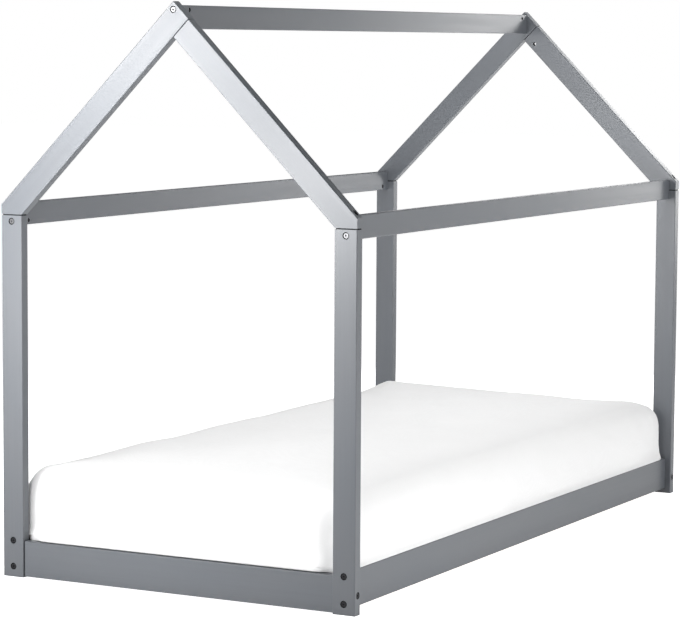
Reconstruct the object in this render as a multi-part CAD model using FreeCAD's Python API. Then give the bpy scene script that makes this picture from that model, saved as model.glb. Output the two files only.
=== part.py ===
import FreeCAD, Part
import math
import os
from collections import defaultdict

Vector = FreeCAD.Vector

# A child's floor bed with the outline of a house, in millimetres.
# X runs across the bed, Y along it from the front end to the rear end, and Z up from the floor.
# The origin lies on the floor under the middle of the bed.

# Mattress and the room that the frame leaves for it
mattress_length = 2000.0
mattress_width = 900.0
mattress_thickness = 203.5
end_clearance = 3.0
side_clearance = 9.0
mattress_sink = 26.5

# Swelling of the mattress above the rails
base_corner_radius = 50.0
bottom_round = 15.0
belly_past_rail = 1.0
belly_corner_radius = 60.0
lip_draw = 10.0
shoulder_width = 60.0
shoulder_height = 90.0
crown_rise = 8.0
crown_width = 220.0
crown_steps = 4
round_step = 15

# Fitted sheet
sheet_thickness = 1.2
sheet_gap = 0.3
rest_gap = 0.3
hem_return = 110.0

# End frames
post_height = 914.0
post_width = 60.0
rafter_width = 60.0
frame_thickness = 27.0
roof_pitch = 45.0

# Rails
side_rail_height = 90.0
side_rail_thickness = 24.0
side_rail_lift = 14.5
end_rail_height = 90.0
end_rail_thickness = 24.0
end_rail_lift = 2.5
upper_rail_height = 57.0
upper_rail_thickness = 18.0
edge_radius = 2.0

# Slatted base
slat_count = 14
slat_width = 80.0
slat_thickness = 12.0
slat_end_gap = 25.0
slat_side_clearance = 2.0
ledge_width = 25.0
ledge_height = 25.0
ledge_end_gap = 8.0
ledge_screw_step = 3

# Bolts and barrel nuts
bolt_radius = 3.0
bolt_clearance = 0.5
bolt_tail = 4.0
bolt_end_gap = 2.0
head_radius = 7.0
head_height = 5.0
head_edge = 0.8
head_clearance = 1.6
head_sink = 0.8
socket_width = 5.0
socket_depth = 3.0
nut_radius = 5.0
nut_length = 12.0
nut_clearance = 0.15
nut_end_gap = 0.5
nut_inset = 34.0
nut_slot_width = 1.4
nut_slot_depth = 1.6
thread_clearance = 0.1

# Where the bolts and dowels sit on the boards
side_bolt_spacing = 66.0
upper_bolt_edge = 11.0
eave_dowel_spacing = 33.0
ridge_dowel_spacing = 24.0
end_dowel_spacing = 56.0
apex_bolt_offset = 12.5
apex_dowel_offset = 13.0
foot_screw_inset = 12.0
foot_dowel_inset = 14.0

# Shadow lines round the ends that butt against another board
post_seam_width = 3.0
end_rail_seam_width = 3.0
apex_seam_width = 1.8
seam_depth = 2.5

# Dowels and screws
dowel_radius = 4.0
dowel_length = 30.0
dowel_clearance = 0.1
dowel_end_gap = 1.0
foot_screw_radius = 3.5
foot_screw_length = 60.0
foot_screw_grip = 17.0
foot_head_radius = 5.0
foot_head_height = 3.5
wood_screw_radius = 2.0
wood_screw_head_radius = 4.0
wood_screw_tip = 5.0
slat_screw_length = 30.0
ledge_screw_length = 40.0
recess_width = 1.0
recess_depth = 1.4
screw_clearance = 0.1

# Places worked out from the sizes above
across = Vector(1, 0, 0)
along = Vector(0, 1, 0)
up = Vector(0, 0, 1)
sides = {"left": -1, "right": 1}
ends = {"front": -1, "rear": 1}

inner_length = mattress_length + 2 * end_clearance
bed_length = inner_length + 2 * frame_thickness
rail_axis = mattress_width / 2 + side_clearance + side_rail_thickness / 2
half_width = rail_axis + post_width / 2
end_frame_axis = (bed_length - frame_thickness) / 2
end_rail_axis = (inner_length + end_rail_thickness) / 2
post_inner = half_width - post_width

sin_pitch = math.sin(math.radians(roof_pitch))
cos_pitch = math.cos(math.radians(roof_pitch))
tan_pitch = sin_pitch / cos_pitch
heel_height = rafter_width / cos_pitch - post_width * tan_pitch
apex = post_height + heel_height + half_width * tan_pitch
inner_apex = post_height + post_inner * tan_pitch

side_rail_middle = side_rail_lift + side_rail_height / 2
side_rail_top = side_rail_lift + side_rail_height
end_rail_middle = end_rail_lift + end_rail_height / 2
eave_bottom = post_height - upper_rail_height / 2
ridge_top = apex - upper_rail_thickness / 2 * tan_pitch

slat_top = side_rail_top - mattress_sink
ledge_top = slat_top - slat_thickness
ledge_axis = rail_axis - side_rail_thickness / 2 - ledge_width / 2
slat_reach = inner_length / 2 - slat_end_gap - slat_width / 2
slat_pitch = 2 * slat_reach / (slat_count - 1)

counterbore_depth = head_height + head_sink
sheet_offset = sheet_gap + sheet_thickness
mattress_bottom = slat_top + rest_gap + sheet_offset
lip_bottom = side_rail_top + rest_gap + sheet_offset
belly_level = mattress_bottom + mattress_thickness - crown_rise - shoulder_height
belly_half_width = rail_axis + side_rail_thickness / 2 + belly_past_rail

boards = {}
holes = defaultdict(list)
fittings = defaultdict(list)
bedding = {}


# Shapes that the pieces share
def rounded_outline(centre, u, half_u, v, half_v, radius):
    """A rectangle in the plane of u and v, with round corners, as a closed wire."""
    corner = min(radius, half_u, half_v)
    turns = [(u, half_u, v, half_v), (v, half_v, -u, half_u), (-u, half_u, -v, half_v), (-v, half_v, u, half_u)]
    arcs = []
    for a, half_a, b, half_b in turns:
        pivot = centre + a * (half_a - corner) + b * (half_b - corner)
        middle = pivot + (a + b) * (corner * math.sqrt(0.5))
        arcs.append((pivot + a * corner, middle, pivot + b * corner))
    edges = []
    for i, (start, middle, end) in enumerate(arcs):
        edges.append(Part.Arc(start, middle, end).toShape())
        edges.append(Part.LineSegment(end, arcs[(i + 1) % 4][0]).toShape())
    return Part.Wire(edges)


def eased_board(centre, u, size_u, v, size_v, grain, length):
    """A board whose long edges are eased, with its middle at centre and its grain along grain."""
    outline = rounded_outline(centre - grain * (length / 2), u, size_u / 2, v, size_v / 2, edge_radius)
    return Part.Face(outline).extrude(grain * length)


def block(centre, u, size_u, v, size_v, w, size_w):
    """A sharp-edged block along three directions."""
    base = centre - w * (size_w / 2)
    corners = [base + u * (i * size_u / 2) + v * (j * size_v / 2) for i, j in ((1, 1), (-1, 1), (-1, -1), (1, -1))]
    return Part.Face(Part.makePolygon(corners + corners[:1])).extrude(w * size_w)


def beyond(point, normal):
    """All that lies past a plane square to the XZ plane, as a block larger than the bed."""
    reach = 2 * (bed_length + 2 * half_width + apex)
    return block(point + normal * (reach / 2), normal, reach, normal.cross(along), reach, along, reach)


def rod(start, direction, length, radius):
    return Part.makeCylinder(radius, length, start, direction)


def square_to(direction):
    """A unit vector square to a direction."""
    other = across if abs(direction.dot(along)) > 0.5 else along
    return direction.cross(other).normalize()


def seam(end, inward, width, u, size_u, v, size_v):
    """The groove of a shadow line round the end of a board, whose end face is square to inward."""
    centre = end + inward * (width / 2)
    band = block(centre, u, 2 * size_u, v, 2 * size_v, inward, width)
    core = block(centre, u, size_u - 2 * seam_depth, v, size_v - 2 * seam_depth, inward, 2 * width)
    return band.cut(core)


def hexagon(start, direction, depth, width):
    """A six-sided prism, width across its flats."""
    u = square_to(direction)
    v = direction.cross(u)
    radius = width / math.sqrt(3)
    angles = [math.radians(60 * i) for i in range(7)]
    points = [start + (u * math.cos(a) + v * math.sin(a)) * radius for a in angles]
    return Part.Face(Part.makePolygon(points)).extrude(direction * depth)


# Fittings, each with the holes that it needs
def socket_screw(under_head, inward, length, radius, top_radius, top_height):
    """A screw with a round flat head and a hexagon socket."""
    straight = top_height - head_edge
    head = rod(under_head, -inward, straight, top_radius)
    rim = Part.makeCone(top_radius, top_radius - head_edge, head_edge, under_head - inward * straight, -inward)
    shank = rod(under_head, inward, length, radius)
    socket = hexagon(under_head - inward * top_height, inward, min(socket_depth, straight), socket_width)
    return head.fuse([rim, shank]).cut(socket).removeSplitter()


def add_bolt(group, joined, seat, inward, grip, nut_side, nut_face):
    """A bolt through one board into a barrel nut in the next.

    seat is where its axis enters the first board, grip that board's thickness, nut_side the way that
    the nut's hole opens and nut_face how far the opening lies from the bolt's axis.
    """
    under_head = seat + inward * counterbore_depth
    length = grip - counterbore_depth + nut_inset + nut_radius + bolt_tail
    nut_centre = seat + inward * (grip + nut_inset)
    nut_mouth = nut_centre + nut_side * nut_face
    nut_depth = nut_face + nut_length / 2 + nut_end_gap
    drilled = [
        rod(seat, inward, counterbore_depth, head_radius + head_clearance),
        rod(under_head, inward, length + bolt_end_gap, bolt_radius + bolt_clearance),
        rod(nut_mouth, -nut_side, nut_depth, nut_radius + nut_clearance),
    ]
    for name in joined:
        holes[name] += drilled

    bolt = socket_screw(under_head, inward, length, bolt_radius, head_radius, head_height)
    fittings[group + "_bolts"].append(bolt)

    barrel = rod(nut_centre - nut_side * (nut_length / 2), nut_side, nut_length, nut_radius)
    thread = rod(nut_centre - inward * (2 * nut_radius), inward, 4 * nut_radius, bolt_radius + thread_clearance)
    slot_centre = nut_centre + nut_side * (nut_length / 2)
    slot_across = inward.cross(nut_side)
    slot = block(slot_centre, inward, 4 * nut_radius, slot_across, nut_slot_width, nut_side, 2 * nut_slot_depth)
    fittings[group + "_barrel_nuts"].append(barrel.cut([thread, slot]))


def add_dowel(group, joined, joint, direction):
    """A wooden dowel, half in each of the two boards that meet at the joint."""
    half = dowel_length / 2
    hole_half = half + dowel_end_gap
    hole = rod(joint - direction * hole_half, direction, 2 * hole_half, dowel_radius + dowel_clearance)
    for name in joined:
        holes[name].append(hole)
    fittings[group + "_dowels"].append(rod(joint - direction * half, direction, dowel_length, dowel_radius))


def wood_screw_form(seat, inward, length, grow):
    """A countersunk screw from its head's face to its tip, or the hole for it."""
    top = wood_screw_head_radius + grow
    radius = wood_screw_radius + grow
    sunk = wood_screw_head_radius - wood_screw_radius
    head = Part.makeCone(top, radius, sunk, seat, inward)
    shank = rod(seat + inward * sunk, inward, length - sunk - wood_screw_tip, radius)
    tip = Part.makeCone(radius, radius / 4, wood_screw_tip, seat + inward * (length - wood_screw_tip), inward)
    return head.fuse([shank, tip])


def add_wood_screw(group, joined, seat, inward, length):
    """A countersunk wood screw with a cross recess, flush with the face that it enters."""
    hole = wood_screw_form(seat, inward, length + screw_clearance, screw_clearance)
    for name in joined:
        holes[name].append(hole)
    u = square_to(inward)
    v = inward.cross(u)
    wide = 2 * wood_screw_radius
    arms = [
        block(seat, u, wide, v, recess_width, inward, 2 * recess_depth),
        block(seat, v, wide, u, recess_width, inward, 2 * recess_depth),
    ]
    fittings[group].append(wood_screw_form(seat, inward, length, 0).cut(arms))


# Posts
def add_posts():
    for end_name, end in ends.items():
        for side_name, side in sides.items():
            middle = Vector(side * rail_axis, end * end_frame_axis, post_height / 2)
            post = eased_board(middle, across, post_width, along, frame_thickness, up, post_height)
            boards[f"post_{end_name}_{side_name}"] = post


# Rafters: the left one of a pair runs through to the apex, and the right one butts against it
def slope(side):
    """The uphill direction of a rafter and the outward normal of its upper face."""
    uphill = Vector(-side * cos_pitch, 0, sin_pitch)
    outward = Vector(side * sin_pitch, 0, cos_pitch)
    return uphill, outward


def add_rafters():
    left_outward = slope(sides["left"])[1]
    right_outward = slope(sides["right"])[1]
    top_cuts = {
        "left": beyond(Vector(0, 0, apex), right_outward),
        "right": beyond(Vector(0, 0, inner_apex), left_outward),
    }
    for end_name, end in ends.items():
        for side_name, side in sides.items():
            uphill, outward = slope(side)
            foot = Vector(side * post_inner, end * end_frame_axis, post_height)
            rough = eased_board(
                foot + outward * (rafter_width / 2), outward, rafter_width, along, frame_thickness, uphill, 4 * apex
            )
            seat_cut = beyond(foot, -up)
            heel_cut = beyond(Vector(side * half_width, 0, 0), across * side)
            boards[f"rafter_{end_name}_{side_name}"] = rough.cut([seat_cut, heel_cut, top_cuts[side_name]])


# Rails
def long_rail(x, middle_height, thickness, height):
    """A rail that runs along the bed between the inner faces of the two end frames."""
    return eased_board(Vector(x, 0, middle_height), across, thickness, up, height, along, inner_length)


def add_rails():
    for name, side in sides.items():
        x = side * rail_axis
        boards[f"side_rail_{name}"] = long_rail(x, side_rail_middle, side_rail_thickness, side_rail_height)
        boards[f"eave_rail_{name}"] = long_rail(x, post_height, upper_rail_thickness, upper_rail_height)
    ridge_middle = ridge_top - upper_rail_height / 2
    boards["ridge_rail"] = long_rail(0, ridge_middle, upper_rail_thickness, upper_rail_height)
    for name, end in ends.items():
        middle = Vector(0, end * end_rail_axis, end_rail_middle)
        boards[f"end_rail_{name}"] = eased_board(
            middle, along, end_rail_thickness, up, end_rail_height, across, 2 * post_inner
        )


# Slatted base: two ledges on the side rails, and the slats screwed down on them
def slat_place(i):
    return -slat_reach + i * slat_pitch


def add_slats():
    ledge_length = inner_length - 2 * ledge_end_gap
    ledge_middle = ledge_top - ledge_height / 2
    for name, side in sides.items():
        boards[f"slat_ledge_{name}"] = eased_board(
            Vector(side * ledge_axis, 0, ledge_middle), across, ledge_width, up, ledge_height, along, ledge_length
        )
        joined = [f"slat_ledge_{name}", f"side_rail_{name}"]
        seat_x = side * (ledge_axis - ledge_width / 2)
        for gap in range(0, slat_count - 1, ledge_screw_step):
            seat = Vector(seat_x, slat_place(gap + 0.5), ledge_middle)
            add_wood_screw("ledge_screws", joined, seat, across * side, ledge_screw_length)

    slat_length = 2 * (rail_axis - side_rail_thickness / 2 - slat_side_clearance)
    for i in range(slat_count):
        slat = f"slat_{i + 1:02d}"
        middle = Vector(0, slat_place(i), slat_top - slat_thickness / 2)
        boards[slat] = eased_board(middle, along, slat_width, up, slat_thickness, across, slat_length)
        for name, side in sides.items():
            seat = Vector(side * ledge_axis, slat_place(i), slat_top)
            add_wood_screw("slat_screws", [slat, f"slat_ledge_{name}"], seat, -up, slat_screw_length)


# Joints of the frame
def join_side_rail(end_name, side_name):
    end, side = ends[end_name], sides[side_name]
    joined = [f"post_{end_name}_{side_name}", f"side_rail_{side_name}"]
    for shift in (-side_bolt_spacing / 2, side_bolt_spacing / 2):
        seat = Vector(side * rail_axis, end * bed_length / 2, side_rail_middle + shift)
        add_bolt("side_rail", joined, seat, along * -end, frame_thickness, across * -side, side_rail_thickness / 2)


def join_end_rail(end_name, side_name):
    end, side = ends[end_name], sides[side_name]
    joined = [f"post_{end_name}_{side_name}", f"end_rail_{end_name}"]
    seat = Vector(side * half_width, end * end_rail_axis, end_rail_middle)
    add_bolt("end_rail", joined, seat, across * -side, post_width, along * -end, end_rail_thickness / 2)
    for shift in (-end_dowel_spacing / 2, end_dowel_spacing / 2):
        joint = Vector(side * post_inner, end * end_rail_axis, end_rail_middle + shift)
        add_dowel("end_rail", joined, joint, across)
    # The right end is drawn up tight, so only the left end shows a line
    if side_name == "left":
        butt = Vector(side * post_inner, end * end_rail_axis, end_rail_middle)
        holes[f"end_rail_{end_name}"].append(
            seam(butt, across * -side, end_rail_seam_width, along, end_rail_thickness, up, end_rail_height)
        )


def join_eave_rail(end_name, side_name):
    end, side = ends[end_name], sides[side_name]
    rail = f"eave_rail_{side_name}"
    x = side * rail_axis
    bolt_height = eave_bottom + upper_bolt_edge
    seat = Vector(x, end * bed_length / 2, bolt_height)
    joined = [f"post_{end_name}_{side_name}", rail]
    add_bolt("eave_rail", joined, seat, along * -end, frame_thickness, across * -side, upper_rail_thickness / 2)
    joint = Vector(x, end * inner_length / 2, bolt_height + eave_dowel_spacing)
    add_dowel("eave_rail", [f"rafter_{end_name}_{side_name}", rail], joint, along)


def join_rafter_foot(end_name, side_name):
    end, side = ends[end_name], sides[side_name]
    y = end * end_frame_axis
    joined = [f"rafter_{end_name}_{side_name}", f"post_{end_name}_{side_name}"]
    under_head = Vector(side * (half_width - foot_screw_inset), y, post_height + foot_screw_grip)
    mouth = rod(under_head, up, 2 * rafter_width, foot_head_radius + head_clearance)
    shaft = rod(under_head, -up, foot_screw_length + screw_clearance, foot_screw_radius + screw_clearance)
    for name in joined:
        holes[name] += [mouth, shaft]
    screw = socket_screw(
        under_head, -up, foot_screw_length, foot_screw_radius, foot_head_radius, foot_head_height
    )
    fittings["rafter_foot_screws"].append(screw)
    joint = Vector(side * (post_inner + foot_dowel_inset), y, post_height)
    add_dowel("rafter_foot", joined, joint, up)
    butt = Vector(side * rail_axis, y, post_height)
    holes[f"post_{end_name}_{side_name}"].append(
        seam(butt, -up, post_seam_width, across, post_width, along, frame_thickness)
    )


def join_ridge(end_name):
    end = ends[end_name]
    joined = [f"rafter_{end_name}_left", "ridge_rail"]
    bolt_height = ridge_top - upper_bolt_edge
    seat = Vector(0, end * bed_length / 2, bolt_height)
    add_bolt("ridge", joined, seat, along * -end, frame_thickness, across, upper_rail_thickness / 2)
    add_dowel("ridge", joined, Vector(0, end * inner_length / 2, bolt_height - ridge_dowel_spacing), along)


def join_apex(end_name):
    end = ends[end_name]
    uphill, outward = slope(sides["left"])
    joined = [f"rafter_{end_name}_left", f"rafter_{end_name}_right"]
    joint_width = rafter_width / math.sin(math.radians(2 * roof_pitch))
    middle = Vector(0, end * end_frame_axis, inner_apex) + uphill * (joint_width / 2)
    seat = middle - uphill * apex_bolt_offset + outward * rafter_width
    add_bolt("apex", joined, seat, -outward, rafter_width, along * -end, frame_thickness / 2)
    add_dowel("apex", joined, middle + uphill * apex_dowel_offset, outward)
    holes[f"rafter_{end_name}_right"].append(
        seam(middle, -outward, apex_seam_width, uphill, joint_width, along, frame_thickness)
    )


def add_joints():
    for end_name in ends:
        for side_name in sides:
            join_side_rail(end_name, side_name)
            join_end_rail(end_name, side_name)
            join_eave_rail(end_name, side_name)
            join_rafter_foot(end_name, side_name)
        join_ridge(end_name)
        join_apex(end_name)


# Bedding: the mattress is narrow between the rails, and above them it swells over their tops
def level_outline(height, half_x, half_y, radius):
    return rounded_outline(Vector(0, 0, height), across, half_x, along, half_y, radius)


def bedding_form(grow):
    """The mattress, or the same form with its faces moved out by grow."""
    bottom = mattress_bottom - grow
    lip = lip_bottom - grow
    half_x = mattress_width / 2 + grow
    half_y = mattress_length / 2 + grow
    radius = base_corner_radius + grow
    base = Part.makeLoft(
        [
            level_outline(bottom, half_x - bottom_round, half_y - bottom_round, radius),
            level_outline(bottom + bottom_round, half_x, half_y, radius),
            level_outline(lip, half_x, half_y, radius),
        ],
        True,
        True,
    )

    belly_x = belly_half_width + grow
    belly_radius = belly_corner_radius + grow
    shoulder = shoulder_height + grow
    levels = []
    for degrees in range(-90, 0, round_step):
        angle = math.radians(degrees)
        height = belly_level + (belly_level - lip) * math.sin(angle)
        inset = lip_draw * (1 - math.cos(angle))
        levels.append(level_outline(height, belly_x - inset, half_y, belly_radius))
    for degrees in range(0, 91, round_step):
        angle = math.radians(degrees)
        height = belly_level + shoulder * math.sin(angle)
        inset = shoulder_width * (1 - math.cos(angle))
        levels.append(level_outline(height, belly_x - inset, half_y - inset, belly_radius))
    for step in range(1, crown_steps + 1):
        share = step / crown_steps
        height = belly_level + shoulder + crown_rise * math.sin(share * math.pi / 2)
        inset = shoulder_width + crown_width * share
        levels.append(level_outline(height, belly_x - inset, half_y - inset, belly_radius))
    swell = Part.makeLoft(levels, True, True)
    return base.fuse(swell)


def add_bedding():
    bedding["mattress"] = bedding_form(0)
    hem_window = block(
        Vector(0, 0, mattress_bottom - sheet_offset),
        across,
        mattress_width - 2 * hem_return,
        along,
        mattress_length - 2 * hem_return,
        up,
        2 * sheet_offset,
    )
    hollow = bedding_form(sheet_gap).fuse(hem_window)
    bedding["fitted_sheet"] = bedding_form(sheet_offset).cut(hollow)


add_posts()
add_rafters()
add_rails()
add_slats()
add_joints()
add_bedding()

pieces = {name: board.cut(holes[name]) for name, board in boards.items()}
pieces.update({name: Part.makeCompound(group) for name, group in fittings.items()})
pieces.update(bedding)

os.makedirs("parts", exist_ok=True)
for name, shape in pieces.items():
    shape.exportStep(f"parts/{name}.step")
    bounds = shape.BoundBox
    print(f"{name}: {len(shape.Solids)} solids, {shape.Volume / 1000:.1f} cm3, top {bounds.ZMax:.1f}")
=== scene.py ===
import math

import bpy
import numpy as np
from mathutils import Matrix, Vector


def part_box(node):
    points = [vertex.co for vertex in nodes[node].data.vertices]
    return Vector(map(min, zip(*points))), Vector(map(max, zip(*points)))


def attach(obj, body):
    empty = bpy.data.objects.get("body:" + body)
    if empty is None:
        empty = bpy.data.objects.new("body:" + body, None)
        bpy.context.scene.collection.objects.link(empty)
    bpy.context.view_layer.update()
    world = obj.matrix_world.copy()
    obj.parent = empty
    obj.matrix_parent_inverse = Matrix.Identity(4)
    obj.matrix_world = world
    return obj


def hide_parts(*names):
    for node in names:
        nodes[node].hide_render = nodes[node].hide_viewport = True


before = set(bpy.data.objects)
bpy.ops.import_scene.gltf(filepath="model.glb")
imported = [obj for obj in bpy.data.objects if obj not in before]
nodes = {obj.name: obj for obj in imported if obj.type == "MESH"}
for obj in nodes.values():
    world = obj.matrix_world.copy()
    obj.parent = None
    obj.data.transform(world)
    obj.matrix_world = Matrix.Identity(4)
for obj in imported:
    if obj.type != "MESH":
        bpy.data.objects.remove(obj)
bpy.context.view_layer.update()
scene = bpy.context.scene

ENDS = ("front", "rear")
SIDES = ("left", "right")
POSTS = [f"post_{e}_{s}" for e in ENDS for s in SIDES]
RAFTERS = [f"rafter_{e}_{s}" for e in ENDS for s in SIDES]
LONG_RAILS = ["ridge_rail"] + [f"{k}_rail_{s}" for k in ("eave", "side") for s in SIDES]
END_RAILS = [f"end_rail_{e}" for e in ENDS]
LEDGES = [f"slat_ledge_{s}" for s in SIDES]
SLATS = sorted(n for n in nodes if n.startswith("slat_") and n[5:].isdigit())
LOW_BOLTS = ["side_rail_bolts", "end_rail_bolts", "rafter_foot_screws"]
TOP_BOLTS = ["eave_rail_bolts", "ridge_bolts", "apex_bolts"]
NUTS = sorted(n for n in nodes if n.endswith("_barrel_nuts"))
SCREWS = ["ledge_screws", "slat_screws"]
DOWELS = sorted(n for n in nodes if n.endswith("_dowels"))

# Directions of the grain in the boards
ACROSS = Vector((1, 0, 0))
ALONG = Vector((0, 1, 0))
UP = Vector((0, 0, 1))
ROOF = {"left": (ACROSS + UP).normalized(), "right": (UP - ACROSS).normalized()}

# Colours and other values of the materials
PAINT_COOL = (0.119, 0.130, 0.146)
PAINT_WARM = (0.124, 0.132, 0.145)
WOOD_PALE = (0.66, 0.47, 0.27)
WOOD_MIDDLE = (0.62, 0.42, 0.225)
WOOD_DARK = (0.47, 0.28, 0.13)
# One plated steel as a shaded copy for the low bolts and a lit copy for the top bolts: painted shade and
# painted light
SHADED_LOW_ZINC = (0.045, 0.045, 0.049)
LIT_TOP_ZINC = (0.14, 0.14, 0.145)
BRIGHT_ZINC = (0.5, 0.5, 0.51)
SHEET_WHITE = (0.92, 0.92, 0.92)
COVER_CREAM = (0.80, 0.78, 0.73)
SHEET_THREAD = 0.0006
# Reach and range of the painted shade in the boards' own seams, grooves and holes
PAINTED_SHADE_REACH = 0.008
SHUT_TO_OPEN = (0.90, 0.98)
NOISE = (0.3, 0.7)  # where most of a noise's values lie
BOARD_SHIFT = (0.37, 1.13, 0.71)
DIAGONAL = math.radians(45)


# Shader building blocks
class Shader:
    """A material with one Principled shader, and short ways to add nodes to it."""

    def __init__(self, name):
        self.material = bpy.data.materials.new(name)
        self.material.use_nodes = True
        self.tree = self.material.node_tree
        self.bsdf = self.tree.nodes["Principled BSDF"]

    def add(self, kind, **values):
        node = self.tree.nodes.new(kind)
        for key, value in values.items():
            setattr(node, key, value)
        return node

    def link(self, source, target):
        self.tree.links.new(source, target)

    def set(self, **values):
        for key, value in values.items():
            self.bsdf.inputs[key.replace("_", " ")].default_value = value

    def position(self):
        return self.add("ShaderNodeTexCoord").outputs["Object"]

    def moved(self, source, shift=(0, 0, 0), turn=(0, 0, 0), scale=(1, 1, 1)):
        node = self.add("ShaderNodeMapping")
        node.inputs["Location"].default_value = shift
        node.inputs["Rotation"].default_value = turn
        node.inputs["Scale"].default_value = scale
        self.link(source, node.inputs["Vector"])
        return node.outputs["Vector"]

    def noise(self, source, scale=1.0, detail=3.0, roughness=0.55, distortion=0.0, output="Fac"):
        node = self.add("ShaderNodeTexNoise")
        node.inputs["Scale"].default_value = scale
        node.inputs["Detail"].default_value = detail
        node.inputs["Roughness"].default_value = roughness
        node.inputs["Distortion"].default_value = distortion
        self.link(source, node.inputs["Vector"])
        return node.outputs[output]

    def wave(self, source, scale, direction="X", distortion=0.0, profile="SIN"):
        node = self.add("ShaderNodeTexWave", wave_type="BANDS", wave_profile=profile)
        node.bands_direction = direction
        node.inputs["Scale"].default_value = scale
        node.inputs["Distortion"].default_value = distortion
        self.link(source, node.inputs["Vector"])
        return node.outputs["Fac"]

    def ramp(self, source, stops):
        node = self.add("ShaderNodeValToRGB")
        ramp = node.color_ramp
        while len(ramp.elements) < len(stops):
            ramp.elements.new(0.5)
        for element, (place, colour) in zip(ramp.elements, stops):
            element.position = place
            element.color = (*colour, 1)
        self.link(source, node.inputs["Fac"])
        return node.outputs["Color"]

    def spread(self, source, low, high, start=0.0, end=1.0):
        node = self.add("ShaderNodeMapRange")
        node.inputs["From Min"].default_value = start
        node.inputs["From Max"].default_value = end
        node.inputs["To Min"].default_value = low
        node.inputs["To Max"].default_value = high
        self.link(source, node.inputs["Value"])
        return node.outputs["Result"]

    def math(self, operation, a, b):
        node = self.add("ShaderNodeMath", operation=operation)
        for socket, value in zip(node.inputs, (a, b)):
            if isinstance(value, (int, float)):
                socket.default_value = value
            else:
                self.link(value, socket)
        return node.outputs["Value"]

    def tint(self, colour, factor):
        """A colour times a grey factor."""
        node = self.add("ShaderNodeMix", data_type="RGBA", blend_type="MULTIPLY")
        node.inputs["Factor"].default_value = 1
        self.link(colour, node.inputs["A"])
        self.link(factor, node.inputs["B"])
        return node.outputs["Result"]

    def bump(self, height, distance, strength=1.0):
        """Adds a bump on top of those that are there."""
        node = self.add("ShaderNodeBump")
        node.inputs["Strength"].default_value = strength
        node.inputs["Distance"].default_value = distance
        self.link(height, node.inputs["Height"])
        if self.bsdf.inputs["Normal"].is_linked:
            self.link(self.bsdf.inputs["Normal"].links[0].from_socket, node.inputs["Normal"])
        self.link(node.outputs["Normal"], self.bsdf.inputs["Normal"])

    def unoccluded_share(self, distance):
        """1 on open faces, and less in the piece's own grooves and holes narrower than the distance: the
        occlusion from which painted shade is made.
        """
        node = self.add("ShaderNodeAmbientOcclusion", samples=6, only_local=True)
        node.inputs["Distance"].default_value = distance
        return node.outputs["AO"]

    def colour(self, source):
        self.link(source, self.bsdf.inputs["Base Color"])

    def roughness(self, source):
        self.link(source, self.bsdf.inputs["Roughness"])


def along_grain(shader, grain, shift):
    """Coordinates in metres with their Y along the grain, moved so that no two boards look alike."""
    turn = ALONG.rotation_difference(grain).inverted().to_euler()
    return shader.moved(shader.position(), shift=shift, turn=turn)


def darker(colour, share):
    return tuple(share * c for c in colour)


def painted_wood(name, grain, shift):
    """Thin satin grey paint over planed softwood, whose grain shows through as fine lines, with painted
    shade in the board's own seams, grooves and holes.
    """
    s = Shader(name)
    place = along_grain(s, grain, shift)
    lines = s.noise(s.moved(place, scale=(420, 5, 420)), detail=2, roughness=0.6)
    streaks = s.noise(s.moved(place, scale=(60, 1.3, 60)), detail=2, distortion=0.6)
    clouds = s.noise(s.moved(place, scale=(7, 2.5, 7)), detail=2)
    tone = s.math("ADD", s.spread(lines, -0.02, 0.02, *NOISE), s.spread(streaks, 0.985, 1.015, *NOISE))
    tone = s.math("ADD", tone, s.spread(clouds, -0.01, 0.01, *NOISE))
    # Painted shade: the colour is darkened nearly to black and the specular taken out where the board's
    # own seams, grooves, counterbores and holes shut out the light.
    painted_shade_mask = s.unoccluded_share(PAINTED_SHADE_REACH)
    tone = s.math("MULTIPLY", tone, s.spread(painted_shade_mask, 0.04, 1.0, *SHUT_TO_OPEN))
    s.link(s.spread(painted_shade_mask, 0.0, 0.5, *SHUT_TO_OPEN), s.bsdf.inputs["Specular IOR Level"])
    paint = s.ramp(clouds, [(0.3, PAINT_COOL), (0.7, PAINT_WARM)])
    s.colour(s.tint(paint, tone))
    s.roughness(s.spread(s.math("ADD", lines, streaks), 0.31, 0.39, 0.7, 1.3))
    s.bump(lines, 0.00003, 0.4)
    s.bump(streaks, 0.0003, 0.3)
    return s.material


def bare_wood(name, grain, shift):
    """Planed softwood with growth rings, fine pores and a little colour drift from board to board."""
    s = Shader(name)
    place = along_grain(s, grain, shift)
    drift = s.noise(s.moved(place, scale=(3, 0.8, 3)), detail=2)
    wander = s.noise(s.moved(place, scale=(9, 1.2, 9)), 0.9, detail=2, roughness=0.5, output="Color")
    bent = s.add("ShaderNodeVectorMath", operation="ADD")
    s.link(s.moved(place, scale=(34, 1.6, 34)), bent.inputs[0])
    s.link(wander, bent.inputs[1])
    rings = s.wave(bent.outputs["Vector"], 1.0, distortion=2.2, profile="SAW")
    pores = s.noise(s.moved(place, scale=(500, 7, 500)), detail=3)
    wood = s.ramp(rings, [(0.0, WOOD_PALE), (0.55, WOOD_MIDDLE), (1.0, WOOD_DARK)])
    tone = s.math("ADD", s.spread(drift, 0.9, 1.1, *NOISE), s.spread(pores, -0.07, 0.05, *NOISE))
    s.colour(s.tint(wood, tone))
    s.roughness(s.spread(pores, 0.5, 0.66, *NOISE))
    s.bump(pores, 0.0003, 0.5)
    s.bump(rings, 0.0004, 0.2)
    return s.material


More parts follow.
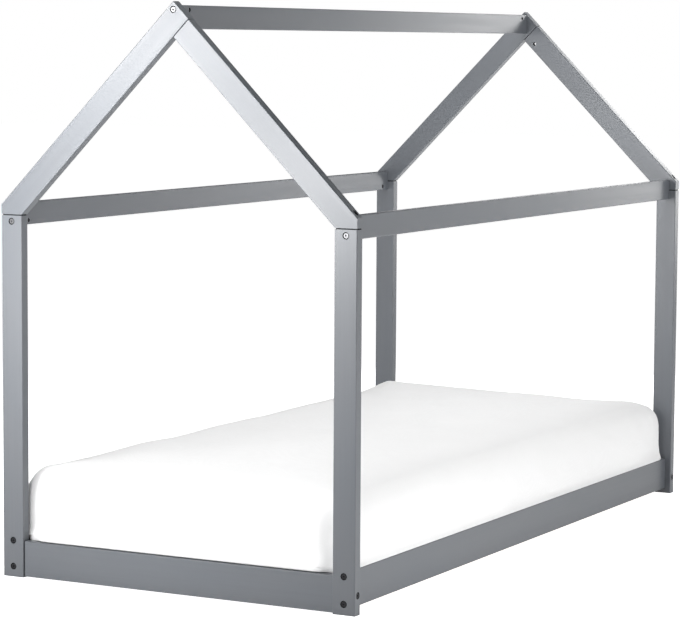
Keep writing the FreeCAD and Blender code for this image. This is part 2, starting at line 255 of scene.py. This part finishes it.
def plated_steel(name, colour, rough, marks):
    """Zinc-plated steel with a mottled plating and fine turning marks."""
    s = Shader(name)
    s.set(Metallic=1.0)
    place = s.position()
    mottle = s.noise(place, 900, detail=4)
    scuffs = s.noise(s.moved(place, scale=(2600, 700, 2600)), detail=2)
    s.colour(s.ramp(mottle, [(0.35, darker(colour, 0.72)), (0.65, colour)]))
    s.roughness(s.spread(scuffs, rough - 0.08, rough + 0.12, *NOISE))
    s.bump(scuffs, 0.00004, marks)
    return s.material


def woven_cotton(name, colour, thread, fuzz):
    """Plain-weave cloth: crossing threads, slubs and a soft sheen."""
    s = Shader(name)
    s.set(Sheen_Weight=fuzz, Sheen_Roughness=0.5, Specular_IOR_Level=0.25)
    place = s.position()
    pitch = 2 / (math.tau * thread)
    warp, weft, drop = (s.wave(place, pitch, axis, distortion=0.4) for axis in "XYZ")
    weave = s.math("ADD", s.math("MULTIPLY", warp, weft), s.math("MULTIPLY", drop, 0.5))
    slubs = s.noise(s.moved(place, scale=(60, 700, 700)), detail=3)
    soft = s.noise(place, 5, detail=3)
    tone = s.math("ADD", s.spread(slubs, 0.985, 1.01, *NOISE), s.spread(soft, -0.01, 0.01, *NOISE))
    s.colour(s.tint(s.ramp(weave, [(0.0, darker(colour, 0.97)), (1.0, colour)]), tone))
    s.roughness(s.spread(slubs, 0.78, 0.9, *NOISE))
    s.bump(weave, 0.0002, 0.35)
    s.bump(slubs, 0.0002, 0.25)
    return s.material


def knitted_cover(name, colour):
    """A quilted knit: rows of small stitches, with a broad diamond pattern pressed into it."""
    s = Shader(name)
    s.set(Sheen_Weight=0.2, Sheen_Roughness=0.5, Specular_IOR_Level=0.2)
    place = s.position()
    wales, courses = (s.wave(place, 260, axis, distortion=0.8) for axis in "XY")
    stitches = s.math("MULTIPLY", wales, courses)
    one, other = (s.wave(s.moved(place, turn=(0, 0, turn)), 7) for turn in (DIAGONAL, -DIAGONAL))
    quilt = s.math("MULTIPLY", s.math("POWER", one, 0.3), s.math("POWER", other, 0.3))
    drift = s.noise(place, 6, detail=3)
    tone = s.math("ADD", s.spread(drift, 0.97, 1.02, *NOISE), s.spread(quilt, -0.03, 0.0))
    s.colour(s.tint(s.ramp(stitches, [(0.0, darker(colour, 0.9)), (1.0, colour)]), tone))
    s.roughness(s.spread(stitches, 0.92, 0.8))
    s.bump(stitches, 0.0005, 0.5)
    s.bump(quilt, 0.003, 0.5)
    return s.material


# Materials on the frame's own pieces
def finish(name, material):
    """Makes the material the only one on a node."""
    slots = nodes[name].data.materials
    slots.clear()
    slots.append(material)


def dress(names, make, grain):
    """Gives each named node its own wood, with the pattern moved from one board to the next."""
    for i, name in enumerate(names):
        shift = tuple(step * i for step in BOARD_SHIFT)
        finish(name, make(name + "_finish", grain, shift))


dress(POSTS, painted_wood, UP)
for side in SIDES:
    dress([n for n in RAFTERS if n.endswith(side)], painted_wood, ROOF[side])
dress(LONG_RAILS, painted_wood, ALONG)
dress(END_RAILS, painted_wood, ACROSS)
dress(LEDGES, bare_wood, ALONG)
dress(SLATS, bare_wood, ACROSS)
dress(DOWELS, bare_wood, ALONG)

# Lit and shaded copies of one plated steel: the low bolts get a darker colour as painted shade, and the
# top bolts a lighter one as painted light.
shaded_low_steel = plated_steel("shaded_low_steel", SHADED_LOW_ZINC, 0.28, 0.5)
bolt_steel = plated_steel("bolt_steel", LIT_TOP_ZINC, 0.34, 0.5)
nut_steel = plated_steel("nut_steel", BRIGHT_ZINC, 0.28, 0.4)
for group, steel in ((LOW_BOLTS, shaded_low_steel), (TOP_BOLTS, bolt_steel), (NUTS + SCREWS, nut_steel)):
    for name in group:
        finish(name, steel)


# Camera at the photograph's place
EYE = Vector((3.42077, -6.57775, 1.34161))
YAW, PITCH, ROLL = 0.490675, -0.097906, 0.006038
FOCAL_PIXELS, IMAGE_WIDTH = 2709.24, 680
ahead = Vector((-math.sin(YAW) * math.cos(PITCH), math.cos(YAW) * math.cos(PITCH), math.sin(PITCH)))
level = Vector((math.cos(YAW), math.sin(YAW), 0))
upright = level.cross(ahead)
right = level * math.cos(ROLL) + upright * math.sin(ROLL)
top = upright * math.cos(ROLL) - level * math.sin(ROLL)
lens = bpy.data.cameras.new("camera")
lens.sensor_fit = "HORIZONTAL"
lens.sensor_width = 36
lens.lens = FOCAL_PIXELS / IMAGE_WIDTH * lens.sensor_width
lens.clip_end = 100
camera = bpy.data.objects.new("camera", lens)
camera.matrix_world = Matrix((right, top, -ahead)).transposed().to_4x4()
camera.location = EYE
scene.collection.objects.link(camera)
scene.camera = camera


# Studio: a white backdrop, a pale floor and soft boxes
WALL_LIGHT, CEILING_LIGHT = 0.1, 0.0
WALL_TOP, CEILING_EDGE = 0.12, 0.6  # sines of their height angles
FLOOR_HALF = 30
FLOOR_GLOW = (0.32, 0.8)  # under the bed, and far from it
FLOOR_FADE = (1.2, 6.0)


def studio_world():
    """A backdrop that is white to the camera, and whose fill light fades towards the ceiling."""
    world = bpy.data.worlds.new("studio")
    scene.world = world
    world.use_nodes = True
    tree = world.node_tree
    coord = tree.nodes.new("ShaderNodeTexCoord")
    split = tree.nodes.new("ShaderNodeSeparateXYZ")
    ramp = tree.nodes.new("ShaderNodeMapRange")
    ramp.interpolation_type = "SMOOTHSTEP"
    ramp.inputs["From Min"].default_value = WALL_TOP
    ramp.inputs["From Max"].default_value = CEILING_EDGE
    ramp.inputs["To Min"].default_value = WALL_LIGHT
    ramp.inputs["To Max"].default_value = CEILING_LIGHT
    path = tree.nodes.new("ShaderNodeLightPath")
    choose = tree.nodes.new("ShaderNodeMix")
    choose.inputs["B"].default_value = 1.0
    tree.links.new(coord.outputs["Generated"], split.inputs["Vector"])
    tree.links.new(split.outputs["Z"], ramp.inputs["Value"])
    tree.links.new(ramp.outputs["Result"], choose.inputs["A"])
    tree.links.new(path.outputs["Is Camera Ray"], choose.inputs["Factor"])
    tree.links.new(choose.outputs["Result"], tree.nodes["Background"].inputs["Strength"])
    tree.nodes["Background"].inputs["Color"].default_value = (1, 1, 1, 1)


def studio_floor():
    """A pale floor that glows a little, more so away from the bed, and is white to the camera."""
    half = FLOOR_HALF
    corners = [(-half, -half, 0), (half, -half, 0), (half, half, 0), (-half, half, 0)]
    mesh = bpy.data.meshes.new("floor")
    mesh.from_pydata(corners, [], [(0, 1, 2, 3)])
    floor = bpy.data.objects.new("floor", mesh)
    scene.collection.objects.link(floor)
    s = Shader("floor_white")
    s.set(Base_Color=(0.92, 0.92, 0.92, 1), Roughness=0.9, Specular_IOR_Level=0.1)
    s.set(Emission_Color=(1, 1, 1, 1))
    away = s.add("ShaderNodeVectorMath", operation="LENGTH")
    s.link(s.position(), away.inputs[0])
    glow = s.spread(away.outputs["Value"], *FLOOR_GLOW, *FLOOR_FADE)
    seen = s.add("ShaderNodeLightPath").outputs["Is Camera Ray"]
    s.link(s.math("MAXIMUM", glow, seen), s.bsdf.inputs["Emission Strength"])
    mesh.materials.append(s.material)


def soft_box(name, place, aim, width, height, power, spread=180):
    """A soft box that faces its aim; a spread under 180 degrees is a grid on its front."""
    light = bpy.data.lights.new(name, "AREA")
    light.shape = "RECTANGLE"
    light.size = width
    light.size_y = height
    light.energy = power
    light.spread = math.radians(spread)
    lamp = bpy.data.objects.new(name, light)
    lamp.location = place
    lamp.rotation_euler = (Vector(aim) - Vector(place)).to_track_quat("-Z", "Y").to_euler()
    lamp.visible_camera = False
    scene.collection.objects.link(lamp)


scene.view_settings.view_transform = "Standard"
studio_world()
studio_floor()
soft_box("gable", (-0.35, -2.1, 1.25), (-0.15, -1.03, 1.12), 0.8, 0.7, 9.4)
soft_box("gable_high", (-0.75, -2.1, 1.45), (-0.1, -1.03, 1.25), 0.7, 0.5, 4, spread=80)
soft_box("gable_left", (-0.9, -2.4, 0.42), (-0.45, -1.03, 0.5), 0.6, 0.6, 12)
soft_box("gable_left_up", (-0.9, -2.3, 0.75), (-0.3, -1.03, 1.15), 0.5, 0.5, 2.6, spread=100)
soft_box("gable_right", (-0.1, -2.1, 0.95), (0.45, -1.03, 0.9), 0.35, 0.35, 7.7)
soft_box("overhead", (0, 0, 3.2), (0, 0, 0), 1.6, 1.6, 48)
soft_box("bed", (0.1, 0.5, 1.2), (0.1, 0.5, 0), 0.5, 0.7, 1.1)
soft_box("rear", (0.3, 3.0, 1.9), (0.3, 1.0, 1.1), 0.8, 0.8, 9)
soft_box("rear_right", (1.2, 3.6, 1.0), (0.2, 0.8, 1.0), 0.9, 0.9, 10.8)
soft_box("ridge", (0.55, 1.9, 1.5), (0, 0.9, 1.42), 0.35, 0.35, 1.5)
soft_box("right", (3.0, 0.8, 1.0), (0.48, 0.3, 0.5), 1.4, 1.4, 29)
soft_box("rail", (1.6, -0.9, 0.3), (0.48, -0.5, 0.06), 0.5, 0.5, 5.8)
soft_box("left_fill", (-3.2, 0.2, 0.9), (-0.5, 0.2, 0.6), 1.6, 1.4, 30)
soft_box("back_fill", (-0.9, 3.6, 0.8), (-0.1, 1.0, 0.6), 1.6, 1.2, 18)


# Bedding: one soft form, from which the mattress and the sheet around it are both made
def inside(name, axis, gap):
    """A coordinate that is a gap short of a piece on the right or at the rear, to 0.1 mm."""
    return round(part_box(name)[0][axis] - gap, 4)


# Places that the frame gives
SHEET_LOW, SHEET_HIGH = (np.array(corner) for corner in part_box("fitted_sheet"))
RAIL_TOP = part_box("side_rail_right")[1].z
END_RAIL_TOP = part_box("end_rail_front")[1].z
BELLY = SHEET_HIGH[:2]
BASE_HALF_WIDTH = inside("side_rail_right", 0, 0.0075)
BETWEEN_RAILS = inside("side_rail_right", 0, 0.0024)
BETWEEN_ENDS = inside("end_rail_rear", 1, 0.0012)
SWELL_EDGE = inside("post_rear_right", 0, 0.005)
POST_ZONE = inside("post_rear_right", 0, 0.017)

# The form: its widest level, its shoulders and top, its corners and its ends
BELLY_LEVEL = 0.185
SHOULDER = np.array((0.060, 0.060, 0.093))
CROWN = 0.007
REAR_LIFT = 0.010
LIFT_ALONG, LIFT_ACROSS = (0.72, 0.95), (-0.7, 0.6)  # shares of the half length and half width
REAR_SQUARENESS = 0.45
SQUARE_ALONG = (0.70, 0.94)
LOW_CORNER = {"front": 0.025, "rear": 0.045}
CORNER_POWER = 5
CORNER_RISE = 0.024
END_BULGE = 0.020
SWELL_FADE = 0.050
END_ZONE = 0.10
HEM_RETURN = 0.110

# The mesh, the simulation and the room round the sheet
GRID = 0.0125
EDGE_STEPS, SHOULDER_STEPS = 6, 9
SIMULATION_STEPS = 20
PRESSURE, STIFFNESS, BENDING = 4, 12, 1.5
DRAWN_IN = 0.004
DRAWN_LEVELS = (RAIL_TOP + 0.002, RAIL_TOP + 0.02)
HELD_LEVEL = RAIL_TOP + 0.0016
MOST_SWELL = 0.007
SIDE_RAIL_LEVEL, END_RAIL_LEVEL = RAIL_TOP + 0.0004, END_RAIL_TOP + 0.0005
TOP_SLACK, SIDE_SLACK, END_SLACK = 0.006, 0.0015, 0.004
SHEET_THICKNESS = 0.0008
FILLING_INSET = 0.0018
TINY = 1e-9

# The folds: slack all over, gathers at the corners, a hollow, and pulls along the sides and ends
FOLD_SEED = 11
OPEN_LEVELS = (RAIL_TOP + 0.004, RAIL_TOP + 0.035)
SLACK_WAVES = 16
SLACK_LENGTHS = (0.16, 0.55)
SLACK_STEEPNESS = 0.0016
GATHER_DEPTH = 0.0013
GATHER_COUNTS = (13, 17)
GATHER_BEGIN, GATHER_END = (0.03, 0.08), (0.10, 0.26)
HOLLOW_DEPTH, HOLLOW_WIDTH = 0.004, 0.016
HOLLOW_PLACE = 0.437
HOLLOW_BEGIN, HOLLOW_END = (0.2, 0.8), (0.90, 0.97)
SIDE_PULLS = dict(
    middles=np.arange(-0.84, 0.9, 0.21), drift=0.06, lean=(0.10, 0.26),
    foot=0.006, rise=(0.07, 0.14), depth=0.0026, width=0.016,
)
END_PULLS = dict(
    middles=np.arange(-0.30, 0.35, 0.15), drift=0.04, lean=(0.06, 0.18),
    foot=0.004, rise=(0.07, 0.13), depth=0.0024, width=0.015,
)


def smooth(value, start, end):
    """0 before start, 1 after end, and an even slope between."""
    t = np.clip((value - start) / (end - start), 0, 1)
    return t * t * (3 - 2 * t)


def unit(vectors, least=TINY):
    """The vectors at a length of 1, apart from those that are shorter than the least."""
    return vectors / np.maximum(np.linalg.norm(vectors, axis=1, keepdims=True), least)


def length_of(out, power):
    """Lengths of flat vectors: true ones for a power of 2, nearer to the larger part for a higher one."""
    return (np.abs(out) ** power).sum(axis=1, keepdims=True) ** (1 / power)


def bed_rows():
    """Levels up the side, from the bottom edge to the widest place.

    Each has a height, a half width and the swell of the ends. The sheet is narrow between the rails, folds
    out over the top of the end rails and then of the side rails, and swells from there.
    """
    z, base, wide = SHEET_LOW[2], BASE_HALF_WIDTH, BELLY[0]
    end_lip = END_RAIL_TOP + 0.0008
    side_lip = RAIL_TOP + 0.0007
    bottom_edge = [
        (z, base - 0.015, -0.015),
        (z + 0.002, base - 0.0075, -0.0075),
        (z + 0.0075, base - 0.002, -0.002),
    ]
    over_end_rails = [
        (end_lip - 0.0005, base, 0.0),
        (end_lip, base + 0.0003, 0.0045),
        (end_lip + 0.0002, base + 0.0005, 0.0105),
        (end_lip + 0.0004, base + 0.0007, 0.0155),
        (end_lip + 0.0012, base + 0.001, 0.0180),
        (end_lip + 0.0036, base + 0.0013, 0.0192),
        (end_lip + 0.008, base + 0.0016, 0.0197),
    ]
    over_side_rails = [
        (side_lip - 0.0002, base + 0.0045),
        (side_lip - 0.0001, base + 0.0115),
        (side_lip, base + 0.0195),
        (side_lip + 0.0001, wide - 0.0065),
        (side_lip + 0.0003, wide - 0.0030),
        (side_lip + 0.0011, wide - 0.0017),
        (side_lip + 0.0030, wide - 0.0010),
        (side_lip + 0.0085, wide - 0.0006),
        (side_lip + 0.020, wide - 0.0003),
        (side_lip + 0.040, wide),
        (side_lip + 0.060, wide),
        (BELLY_LEVEL, wide),
    ]
    return bottom_edge + over_end_rails + [(*row, END_BULGE) for row in over_side_rails]


def grid_lines(half_length, edge, edge_steps, spacing):
    """Grid lines over a length, evenly spaced in its middle and in the round edges at both ends."""
    inner = half_length - edge
    steps = round(2 * inner / spacing)
    middle = np.linspace(-inner, inner, steps + 1)
    rim = np.linspace(0, edge, edge_steps + 1)[1:]
    return np.concatenate((-inner - rim[::-1], middle, inner + rim))


def box_grid(nx, ny, nz):
    """The outside of a block of cells: the grid places of its points, and quads that all face out."""
    index, faces = {}, []

    def quad(*corners):
        faces.append([index.setdefault(corner, len(index)) for corner in corners])

    for i in range(nx):
        for j in range(ny):
            quad((i, j, nz), (i + 1, j, nz), (i + 1, j + 1, nz), (i, j + 1, nz))
            quad((i, j, 0), (i, j + 1, 0), (i + 1, j + 1, 0), (i + 1, j, 0))
    for k in range(nz):
        for i in range(nx):
            quad((i, 0, k), (i + 1, 0, k), (i + 1, 0, k + 1), (i, 0, k + 1))
            quad((i, ny, k), (i, ny, k + 1), (i + 1, ny, k + 1), (i + 1, ny, k))
        for j in range(ny):
            quad((0, j, k), (0, j, k + 1), (0, j + 1, k + 1), (0, j + 1, k))
            quad((nx, j, k), (nx, j + 1, k), (nx, j + 1, k + 1), (nx, j, k + 1))
    return np.array(list(index)), faces


def round_corner(points, half, radius, power):
    """Moves points on a rectangle's edge to the same rectangle with round corners, in plan.

    A power of 2 gives quarter circles, and a higher one squarer corners.
    """
    core = np.clip(points, -(half - radius), half - radius)
    out = (points - core) / radius
    length = length_of(out, power)
    reach = np.abs(out).max(axis=1, keepdims=True)
    return core + radius * out * np.where(length > TINY, reach / np.maximum(length, TINY), 1)


def swell_of_end(x, y, most):
    """How far an end stands out over its rail: fully between the posts, and nothing beside them."""
    between = np.clip((SWELL_EDGE - np.abs(x)) / SWELL_FADE, 0, 1)
    near_end = np.clip((np.abs(y) - (BELLY[1] - END_ZONE)) / END_ZONE, 0, 1)
    return most * between**2 * (3 - 2 * between) * near_end**2


def side_points(plan, height, half_width, swell):
    """One level of the sides: rounder corners at the rails, and squarer ones above them."""
    half = np.array((half_width, BELLY[1] + min(swell, 0)))
    flat = plan * half / BELLY
    above_rail = smooth(height, RAIL_TOP, RAIL_TOP + CORNER_RISE)
    low = np.where(flat[:, 1:] < 0, LOW_CORNER["front"], LOW_CORNER["rear"])
    radius = low + (SHOULDER[0] - low) * above_rail
    x, y = round_corner(flat, half, radius, 2 + (CORNER_POWER - 2) * above_rail).T
    y = y + np.sign(plan[:, 1]) * swell_of_end(x, plan[:, 1], max(swell, 0))
    return np.column_stack((x, y, np.full(len(x), height)))


def top_points(plan, share):
    """The shoulders and the crowned top; the share is 0 at the widest level and 1 at the top."""
    core = np.clip(plan, SHOULDER[:2] - BELLY, BELLY - SHOULDER[:2])
    out = unit(np.column_stack(((plan - core) / SHOULDER[:2], share)))
    sides, rise = out[:, :2], out[:, 2]
    push = length_of(sides, 2) / np.maximum(length_of(sides, CORNER_POWER), TINY)
    push = np.where(push > 0, push, 1) ** (1 - out[:, 2:])
    x, y = (core + sides * push * SHOULDER[:2]).T
    squareness = 1 - REAR_SQUARENESS * smooth(plan[:, 1], *SQUARE_ALONG)
    z = BELLY_LEVEL + rise**squareness * SHOULDER[2]
    rounded = np.clip(1 - rise**2, 0, 1) ** 0.5
    y = y + np.sign(plan[:, 1]) * rounded * swell_of_end(x, plan[:, 1], END_BULGE)
    across, along = x / BELLY[0], y / BELLY[1]
    z = z + CROWN * (1 - across**4) * (1 - along**8) * rise**2
    z = z + REAR_LIFT * smooth(along, *LIFT_ALONG) * smooth(-across, *LIFT_ACROSS) * rise**2
    return np.column_stack((x, y, z))


def soft_form(spacing):
    """The closed form of the made-up mattress: points and quads, all facing out."""
    xs = grid_lines(BELLY[0], SHOULDER[0], EDGE_STEPS, spacing)
    ys = grid_lines(BELLY[1], SHOULDER[1], EDGE_STEPS, spacing)
    rows = bed_rows()
    widest = len(rows) - 1
    places, faces = box_grid(len(xs) - 1, len(ys) - 1, widest + SHOULDER_STEPS)
    plan = np.column_stack((xs[places[:, 0]], ys[places[:, 1]]))
    row_of = places[:, 2]
    points = np.zeros((len(places), 3))
    for k, row in enumerate(rows):
        points[row_of == k] = side_points(plan[row_of == k], *row)
    above = row_of >= widest
    share = np.clip((row_of[above] - widest) / SHOULDER_STEPS, 0, 1)
    points[above] = top_points(plan[above], share)
    return points, faces


def normals_of(points, faces):
    """Unit normals at the points of a mesh of quads."""
    quads = np.array(faces)
    one = points[quads[:, 2]] - points[quads[:, 0]]
    other = points[quads[:, 3]] - points[quads[:, 1]]
    facing = np.cross(one, other)
    normals = np.zeros_like(points)
    for corner in range(4):
        np.add.at(normals, quads[:, corner], facing)
    return unit(normals, 1e-12)


def add_object(name, points, faces):
    mesh = bpy.data.meshes.new(name)
    mesh.from_pydata([tuple(p) for p in points], [], faces)
    mesh.update()
    for face in mesh.polygons:
        face.use_smooth = True
    thing = bpy.data.objects.new(name, mesh)
    scene.collection.objects.link(thing)
    return thing


def swollen(points, faces):
    """The form as a filled cover: drawn in a little and blown up again by a cloth simulation."""
    normals = normals_of(points, faces)
    above_rail = smooth(points[:, 2], *DRAWN_LEVELS)
    start = points - DRAWN_IN * normals * above_rail[:, None]
    cover = add_object("cover", start, faces)
    held = cover.vertex_groups.new(name="held")
    held.add([int(i) for i in np.flatnonzero(points[:, 2] < HELD_LEVEL)], 1.0, "REPLACE")
    cloth = cover.modifiers.new("Cloth", "CLOTH")
    cloth.settings.vertex_group_mass = "held"
    cloth.settings.use_pressure = True
    cloth.settings.uniform_pressure_force = PRESSURE
    cloth.settings.effector_weights.gravity = 0
    cloth.settings.tension_stiffness = cloth.settings.compression_stiffness = STIFFNESS
    cloth.settings.bending_stiffness = BENDING
    cloth.point_cache.frame_end = SIMULATION_STEPS
    for step in range(1, SIMULATION_STEPS + 1):
        scene.frame_set(step)
    mesh = cover.evaluated_get(bpy.context.evaluated_depsgraph_get()).to_mesh()
    swell = np.array([v.co for v in mesh.vertices]) - start
    size = np.linalg.norm(swell, axis=1, keepdims=True)
    scene.frame_set(1)
    bpy.data.objects.remove(cover)
    return start + swell * np.minimum(1, MOST_SWELL / np.maximum(size, TINY))


def slack(x, y, z, draws):
    """Broad low waves all over the sheet."""
    height = np.zeros(len(x))
    for _ in range(SLACK_WAVES):
        turn, wave = draws.uniform(0, math.tau), draws.uniform(*SLACK_LENGTHS)
        step = (x * math.cos(turn) + y * math.sin(turn) + 0.7 * z) * math.tau / wave
        height += SLACK_STEEPNESS * wave * np.sin(step + draws.uniform(0, math.tau))
    return height


def gathers(x, y, z, faces_side, draws):
    """A fan of small folds round each of the four corners."""
    rise = z - RAIL_TOP
    reach = np.where(faces_side, BELLY[1] - np.abs(y), BELLY[0] - np.abs(x))
    angle, away = np.arctan2(rise, reach), np.hypot(rise, reach)
    begin, end = smooth(away, *GATHER_BEGIN), 1 - smooth(away, *GATHER_END)
    height = np.zeros(len(x))
    for sx in (-1, 1):
        for sy in (-1, 1):
            near = (sx * x > 0) & (sy * y > 0)
            count, phase = draws.uniform(*GATHER_COUNTS), draws.uniform(0, math.tau)
            fan = np.sin(count * angle + phase + 3 * np.sin(2 * angle + phase))
            height += near * GATHER_DEPTH * fan * begin * end
    return height


def fold(s, z, begin, end, width):
    """A soft fold along a line on a side of the bed: a ridge with a trough beside it."""
    begin, end = np.array(begin), np.array(end)
    line = end - begin
    length = np.linalg.norm(line)
    ahead = line / length
    t = ((s - begin[0]) * ahead[0] + (z - begin[1]) * ahead[1]) / length
    off = ((z - begin[1]) * ahead[0] - (s - begin[0]) * ahead[1]) / width
    return np.sin(np.pi * np.clip(t, 0, 1)) ** 0.7 * (0.6 - off) * np.exp(-(off**2))


def pulls(s, z, facing, draws, middles, drift, lean, foot, rise, depth, width):
    """Leaning folds that start at the rail, along one side or one end of the bed."""
    height = np.zeros(len(s))
    for middle in middles + draws.uniform(-drift, drift, len(middles)):
        shift, size = draws.uniform(*lean) * draws.choice((-1, 1)), draws.uniform(0.5, 1.0)
        low, high = (middle, RAIL_TOP + foot), (middle + shift, RAIL_TOP + draws.uniform(*rise))
        height += depth * size * facing * fold(s, z, low, high, width)
    return height


def hollow(x, y, z):
    """A shallow trough along the rear half of the top's right edge."""
    trough = np.exp(-(((x - HOLLOW_PLACE) / HOLLOW_WIDTH) ** 2))
    trough = trough * smooth(y, *HOLLOW_BEGIN) * (1 - smooth(y, *HOLLOW_END))
    return HOLLOW_DEPTH * trough * (z > BELLY_LEVEL)


def creases(points, normals):
    """Heights of the sheet's folds above the rails."""
    x, y, z = points.T
    draws = np.random.default_rng(FOLD_SEED)
    on_side, on_end = np.abs(normals[:, 0]) ** 2, np.abs(normals[:, 1]) ** 2
    height = slack(x, y, z, draws)
    height += gathers(x, y, z, on_side > on_end, draws)
    for sign in (-1, 1):
        height += pulls(y, z, on_side * (sign * x > 0), draws, **SIDE_PULLS)
    for sign in (-1, 1):
        height += pulls(x, z, on_end * (sign * y > 0), draws, **END_PULLS)
    return (height - hollow(x, y, z)) * smooth(z, *OPEN_LEVELS)


def clear_of_frame(points):
    """Keeps the sheet off the rails, the posts and the slats, and inside its own space."""
    points = np.array(points)
    points[:, 2] = np.clip(points[:, 2], SHEET_LOW[2], SHEET_HIGH[2] + TOP_SLACK)
    beside_rail = points[:, 2] < SIDE_RAIL_LEVEL
    widest = np.where(beside_rail, BETWEEN_RAILS, BELLY[0] + SIDE_SLACK)
    points[:, 0] = np.clip(points[:, 0], -widest, widest)
    by_post = np.abs(points[:, 0]) > POST_ZONE
    by_rail = points[:, 2] < END_RAIL_LEVEL
    longest = np.where(by_post | by_rail, BETWEEN_ENDS, BELLY[1] + END_BULGE + END_SLACK)
    points[:, 1] = np.clip(points[:, 1], -longest, longest)
    return points


def sheet_mesh(points, faces):
    """The form without the part of its underside that the sheet's hem leaves bare."""
    quads = np.array(faces)
    middles = points[quads].mean(axis=1)
    window = np.array((BASE_HALF_WIDTH, BELLY[1])) - HEM_RETURN
    bare = (middles[:, 2] < SHEET_LOW[2] + 0.001) & (np.abs(middles[:, :2]) < window).all(axis=1)
    kept = quads[~bare]
    used, renumbered = np.unique(kept, return_inverse=True)
    return points[used], renumbered.reshape(kept.shape).tolist()


def filling_points(points, normals):
    """The mattress just inside the sheet, kept off the side rails where it lies over them."""
    points = points - FILLING_INSET * normals
    over_rail = np.abs(points[:, 0]) > BETWEEN_RAILS
    points[over_rail, 2] = np.maximum(points[over_rail, 2], RAIL_TOP + FILLING_INSET)
    return points


form_points, form_quads = soft_form(GRID)
form_points = swollen(form_points, form_quads)
form_normals = normals_of(form_points, form_quads)
form_points = clear_of_frame(form_points + creases(form_points, form_normals)[:, None] * form_normals)
form_normals = normals_of(form_points, form_quads)

sheet = add_object("fitted_sheet_cloth", *sheet_mesh(form_points, form_quads))
shell = sheet.modifiers.new("Thickness", "SOLIDIFY")
shell.thickness = SHEET_THICKNESS
shell.offset = -1
sheet.data.materials.append(woven_cotton("sheet_cotton", SHEET_WHITE, SHEET_THREAD, 0.15))
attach(sheet, "mattress")
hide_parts("fitted_sheet")

filling = add_object("mattress_filled", filling_points(form_points, form_normals), form_quads)
filling.data.materials.append(knitted_cover("mattress_cover", COVER_CREAM))
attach(filling, "mattress")
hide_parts("mattress")
